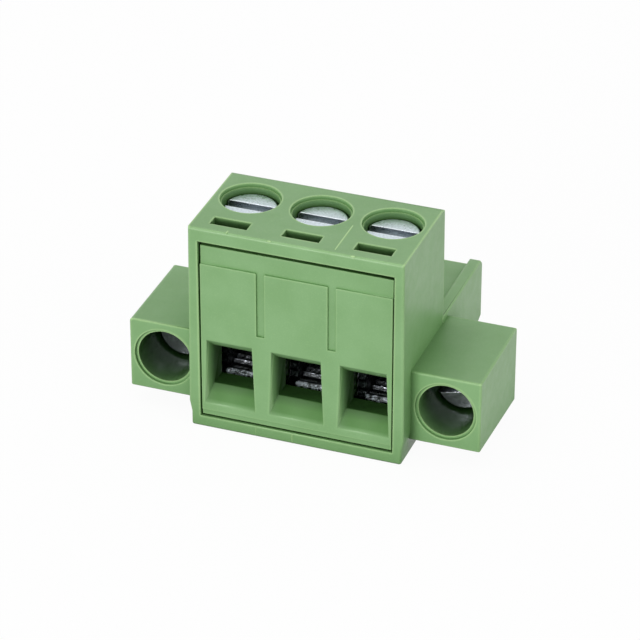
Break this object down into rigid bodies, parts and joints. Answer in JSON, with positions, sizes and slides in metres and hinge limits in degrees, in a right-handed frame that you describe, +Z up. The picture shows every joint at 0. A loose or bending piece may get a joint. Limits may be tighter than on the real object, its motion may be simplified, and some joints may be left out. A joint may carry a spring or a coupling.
{
  "type": "pluggable terminal block",
  "caption": "green pluggable screw terminal plug with rising-cage wire clamps, ribbed plug nose, test slots and a screw flange at each end",
  "frame": {"origin": "centre of the bounding box in X and Y, at the bottom", "axes": "+X along the row of poles, +Y out of the plug nose, +Z up out of the clamping screws' heads; wires enter from -Y"},
  "size_m": [0.0254, 0.0168, 0.0155],
  "materials": {
    "green_polyamide": "satin moulded polyamide",
    "zinc_steel": "bright zinc plated",
    "nickel_steel": "nickel plated, punched edges",
    "tinned_copper_alloy": "tin plated"
  },
  "bodies": {
    "block": {"housing": "green_polyamide", "front_insert": "green_polyamide", "contact_1": "tinned_copper_alloy", "contact_2": "tinned_copper_alloy", "contact_3": "tinned_copper_alloy"},
    "screw_1": {"clamp_screw_1": "zinc_steel"},
    "screw_2": {"clamp_screw_2": "zinc_steel"},
    "screw_3": {"clamp_screw_3": "zinc_steel"},
    "cage_1": {"clamp_cage_1": "nickel_steel"},
    "cage_2": {"clamp_cage_2": "nickel_steel"},
    "cage_3": {"clamp_cage_3": "nickel_steel"},
    "left_flange_screw": {"flange_screw_left": "zinc_steel"},
    "right_flange_screw": {"flange_screw_right": "zinc_steel"}
  },
  "joints": [
    {"name": "clamp_screw_1_turn", "type": "hinge", "parent": "block", "child": "screw_1", "pos_m": [-0.00508, -0.00332, 0.01485], "axis": [0, 0, 1], "range_deg": [-2052, 0]},
    {"name": "clamp_screw_2_turn", "type": "hinge", "parent": "block", "child": "screw_2", "pos_m": [0, -0.00332, 0.01485], "axis": [0, 0, 1], "range_deg": [-2052, 0]},
    {"name": "clamp_screw_3_turn", "type": "hinge", "parent": "block", "child": "screw_3", "pos_m": [0.00508, -0.00332, 0.01485], "axis": [0, 0, 1], "range_deg": [-2052, 0]},
    {"name": "clamp_cage_1_rise", "type": "slide", "parent": "block", "child": "cage_1", "axis": [0, 0, 1], "range_m": [0, 0.00285]},
    {"name": "clamp_cage_2_rise", "type": "slide", "parent": "block", "child": "cage_2", "axis": [0, 0, 1], "range_m": [0, 0.00285]},
    {"name": "clamp_cage_3_rise", "type": "slide", "parent": "block", "child": "cage_3", "axis": [0, 0, 1], "range_m": [0, 0.00285]},
    {"name": "flange_screw_left_turn", "type": "hinge", "parent": "block", "child": "left_flange_screw", "pos_m": [-0.01016, -0.00345, 0.00396], "axis": [0, 1, 0], "continuous": true},
    {"name": "flange_screw_right_turn", "type": "hinge", "parent": "block", "child": "right_flange_screw", "pos_m": [0.01016, -0.00345, 0.00396], "axis": [0, 1, 0], "continuous": true}
  ],
  "couplings": [
    {"joint": "clamp_screw_1_turn", "follows": "clamp_cage_1_rise", "rad_per_m": -12566},
    {"joint": "clamp_screw_2_turn", "follows": "clamp_cage_2_rise", "rad_per_m": -12566},
    {"joint": "clamp_screw_3_turn", "follows": "clamp_cage_3_rise", "rad_per_m": -12566}
  ]
}
